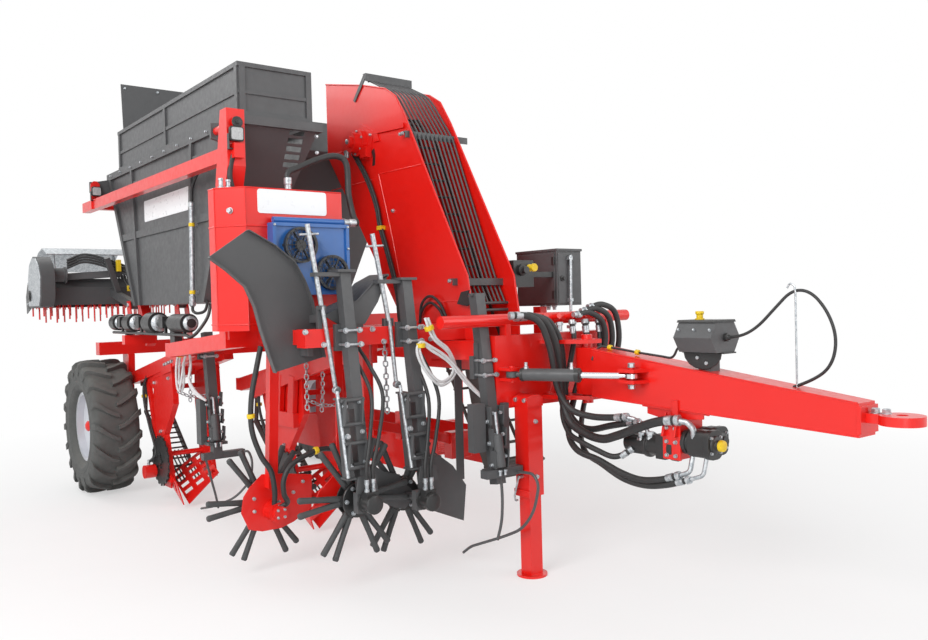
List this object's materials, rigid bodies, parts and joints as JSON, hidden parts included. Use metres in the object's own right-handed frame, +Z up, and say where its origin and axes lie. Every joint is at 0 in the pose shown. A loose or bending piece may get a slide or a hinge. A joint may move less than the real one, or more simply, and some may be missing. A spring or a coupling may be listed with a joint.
{
  "type": "towed sugar beet harvester",
  "caption": "Towed two row sugar beet harvester: side tipping bunker, rod elevator, staggered share diggers, rubber flail toppers, steered drawbar and parking stand",
  "frame": {"origin": "on the ground under the middle of the machine's box, the cable left out", "axes": "+X forward to the towing eye, +Y to the machine's left, +Z up"},
  "size_m": [8.268, 2.9986, 3.9004],
  "materials": {
    "tyre_rubber": "lugged tyre rubber",
    "rim_paint": "silver paint",
    "red_paint": "gloss red paint",
    "grey_paint": "anthracite paint",
    "blue_paint": "blue paint",
    "zinc": "galvanised steel",
    "bare_steel": "worn steel bars",
    "chrome_rod": "hard chrome",
    "black_rubber": "rubber",
    "cast_black": "black paint"
  },
  "bodies": {
    "frame": {"axle_leg_right": "red_paint", "axle_leg_left": "red_paint", "chassis_frame": "red_paint", "bunker_stand": "red_paint", "toolbar": "red_paint", "front_frame": "red_paint", "hose_rail": "red_paint", "topper_leg_1": "grey_paint", "topper_leg_2": "grey_paint", "row_finder_leg": "grey_paint", "rear_leg": "grey_paint", "side_flail_carrier": "red_paint", "digger_frame_1": "red_paint", "digger_frame_2": "red_paint", "digger_shares_1": "red_paint", "digger_shares_2": "red_paint", "cleaning_disc_1": "cast_black", "cleaning_disc_2": "cast_black", "rotor_guards": "grey_paint", "cooler_fans": "cast_black", "depth_spindles": "zinc", "spindle_brackets": "grey_paint", "lifting_web_1": "bare_steel", "lifting_web_2": "bare_steel", "carrying_web": "red_paint", "elevator_housing": "red_paint", "elevator_grille": "grey_paint", "elevator_web": "bare_steel", "oil_tank": "red_paint", "oil_cooler": "blue_paint", "leaf_chute": "grey_paint", "control_box": "grey_paint", "box_post": "red_paint", "drive_row": "cast_black", "stand_sleeve": "red_paint"},
    "wheel_right": {"tyre_right": "tyre_rubber", "rim_right": "rim_paint", "hub_right": "red_paint"},
    "wheel_left": {"tyre_left": "tyre_rubber", "rim_left": "rim_paint", "hub_left": "red_paint"},
    "bunker": {"bunker_hopper": "grey_paint", "bunker_extension": "grey_paint", "bunker_flap": "grey_paint"},
    "drawbar": {"drawbar": "red_paint", "towing_eye": "red_paint", "pump_unit": "cast_black", "control_unit": "grey_paint", "hook_post": "zinc", "control_cable": "black_rubber"},
    "steer_barrel": {"steering_barrel": "grey_paint"},
    "steer_rod": {"steering_rod": "chrome_rod"},
    "stand": {"stand_leg": "red_paint"},
    "flail_1": {"flail_rotor_1": "black_rubber"},
    "flail_2": {"flail_rotor_2": "black_rubber"},
    "flail_3": {"flail_rotor_3": "black_rubber"},
    "rear_topper": {"topper_arm": "grey_paint", "topper_housing": "grey_paint", "topper_deflector": "zinc"},
    "topper_shaft": {"topper_rotor": "red_paint"}
  },
  "joints": [
    {"name": "wheel_right_spin", "type": "hinge", "parent": "frame", "child": "wheel_right", "pos_m": [-2.664, -1.08725, 0.625], "axis": [0, 1, 0], "continuous": true},
    {"name": "wheel_left_spin", "type": "hinge", "parent": "frame", "child": "wheel_left", "pos_m": [-2.664, 1.29275, 0.625], "axis": [0, 1, 0], "continuous": true},
    {"name": "bunker_tip", "type": "hinge", "parent": "frame", "child": "bunker", "pos_m": [-1.164, -1.09725, 2.87], "axis": [1, 0, 0], "range_deg": [0, 95]},
    {"name": "drawbar_swing", "type": "hinge", "parent": "frame", "child": "drawbar", "pos_m": [2.096, 0.60275, 1.25], "axis": [0, 0, 1], "range_deg": [-14, 14]},
    {"name": "steer_barrel_turn", "type": "hinge", "parent": "frame", "child": "steer_barrel", "pos_m": [1.936, 0.11275, 1.255], "axis": [0, 0, 1], "range_deg": [-9, 9]},
    {"name": "steer_rod_slide", "type": "slide", "parent": "steer_barrel", "child": "steer_rod", "axis": [0.8944, 0.4472, 0], "range_m": [-0.1, 0.1]},
    {"name": "stand_slide", "type": "slide", "parent": "frame", "child": "stand", "axis": [0, 0, 1], "range_m": [0, 0.22]},
    {"name": "flail_1_spin", "type": "hinge", "parent": "frame", "child": "flail_1", "pos_m": [1.416, -0.70725, 0.54], "axis": [1, 0, 0], "continuous": true},
    {"name": "flail_2_spin", "type": "hinge", "parent": "frame", "child": "flail_2", "pos_m": [1.296, -0.29725, 0.49], "axis": [1, 0, 0], "continuous": true},
    {"name": "flail_3_spin", "type": "hinge", "parent": "frame", "child": "flail_3", "pos_m": [0.736, -0.98725, 0.45], "axis": [1, 0, 0], "continuous": true},
    {"name": "topper_lift", "type": "hinge", "parent": "frame", "child": "rear_topper", "pos_m": [-2.774, -0.48225, 1.76], "axis": [0, 1, 0], "range_deg": [-50, 6]},
    {"name": "topper_shaft_spin", "type": "hinge", "parent": "rear_topper", "child": "topper_shaft", "pos_m": [-3.654, -0.74725, 1.88], "axis": [0, 1, 0], "continuous": true}
  ],
  "couplings": [
    {"joint": "steer_barrel_turn", "follows": "drawbar_swing", "ratio": 0.509},
    {"joint": "steer_rod_slide", "follows": "drawbar_swing", "m_per_rad": 0.3666}
  ]
}
